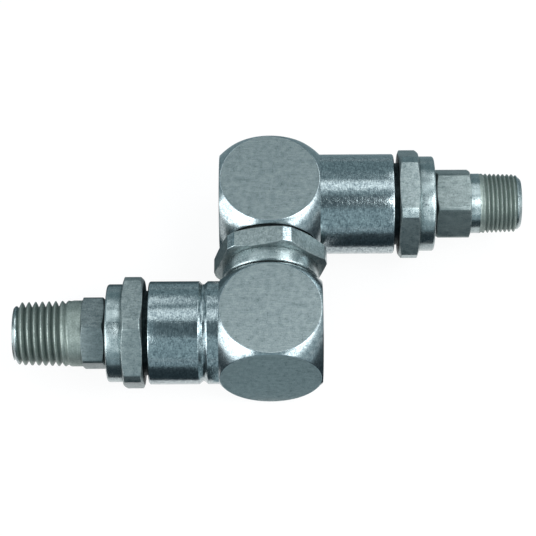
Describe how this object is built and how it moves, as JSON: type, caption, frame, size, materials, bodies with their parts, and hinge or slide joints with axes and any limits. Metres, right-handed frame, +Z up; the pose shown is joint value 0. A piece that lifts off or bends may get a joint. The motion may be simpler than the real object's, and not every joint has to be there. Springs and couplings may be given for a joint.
{
  "type": "swivel adapter",
  "caption": "Z-shaped swivel adapter: sphere-cornered elbows on a middle swivel, each arm ending in a swivelling tapered-thread nipple.",
  "frame": {"origin": "on the table, straight below the middle of the middle swivel, with the adapter lying on its three gland nuts", "axes": "+X along the outlet arm and its nipple, -X along the inlet arm, +Y along the middle swivel from the inlet elbow to the outlet elbow, +Z up"},
  "size_m": [0.1084, 0.056, 0.024],
  "materials": {
    "zinc_plated_steel": "bright zinc plate, satin where turned",
    "zinc_plated_nut": "satin zinc plate",
    "zinc_plated_nipple": "satin zinc plate",
    "bearing_steel": "polished",
    "ground_steel": "ground",
    "ptfe": "matte",
    "nitrile_rubber": "matte"
  },
  "bodies": {
    "inlet_body": {"inlet_elbow": "zinc_plated_steel", "inlet_gland_nut": "zinc_plated_nut", "center_stem": "zinc_plated_nipple", "inlet_thrust_ring": "ground_steel", "inlet_backup_ring": "ptfe", "inlet_seal_ring": "nitrile_rubber", "inlet_ball_01": "bearing_steel", "inlet_ball_02": "bearing_steel", "inlet_ball_03": "bearing_steel", "inlet_ball_04": "bearing_steel", "inlet_ball_05": "bearing_steel", "inlet_ball_06": "bearing_steel", "inlet_ball_07": "bearing_steel", "inlet_ball_08": "bearing_steel", "inlet_ball_09": "bearing_steel", "inlet_ball_10": "bearing_steel", "inlet_ball_11": "bearing_steel"},
    "inlet_nipple_body": {"inlet_nipple": "zinc_plated_nipple"},
    "outlet_body": {"outlet_elbow": "zinc_plated_steel", "outlet_gland_nut": "zinc_plated_nut", "center_gland_nut": "zinc_plated_nut", "center_thrust_ring": "ground_steel", "center_backup_ring": "ptfe", "center_seal_ring": "nitrile_rubber", "center_ball_01": "bearing_steel", "center_ball_02": "bearing_steel", "center_ball_03": "bearing_steel", "center_ball_04": "bearing_steel", "center_ball_05": "bearing_steel", "center_ball_06": "bearing_steel", "center_ball_07": "bearing_steel", "center_ball_08": "bearing_steel", "center_ball_09": "bearing_steel", "center_ball_10": "bearing_steel", "center_ball_11": "bearing_steel", "outlet_thrust_ring": "ground_steel", "outlet_backup_ring": "ptfe", "outlet_seal_ring": "nitrile_rubber", "outlet_ball_01": "bearing_steel", "outlet_ball_02": "bearing_steel", "outlet_ball_03": "bearing_steel", "outlet_ball_04": "bearing_steel", "outlet_ball_05": "bearing_steel", "outlet_ball_06": "bearing_steel", "outlet_ball_07": "bearing_steel", "outlet_ball_08": "bearing_steel", "outlet_ball_09": "bearing_steel", "outlet_ball_10": "bearing_steel", "outlet_ball_11": "bearing_steel"},
    "outlet_nipple_body": {"outlet_nipple": "zinc_plated_nipple"}
  },
  "joints": [
    {"name": "inlet_swivel", "type": "hinge", "parent": "inlet_body", "child": "inlet_nipple_body", "pos_m": [-0.03425, -0.01584, 0.01202], "axis": [-1, 0, 0], "continuous": true},
    {"name": "center_swivel", "type": "hinge", "parent": "inlet_body", "child": "outlet_body", "pos_m": [0, 0, 0.01202], "axis": [0, 1, 0], "continuous": true},
    {"name": "outlet_swivel", "type": "hinge", "parent": "outlet_body", "child": "outlet_nipple_body", "pos_m": [0.03555, 0.01584, 0.01202], "axis": [1, 0, 0], "continuous": true}
  ]
}
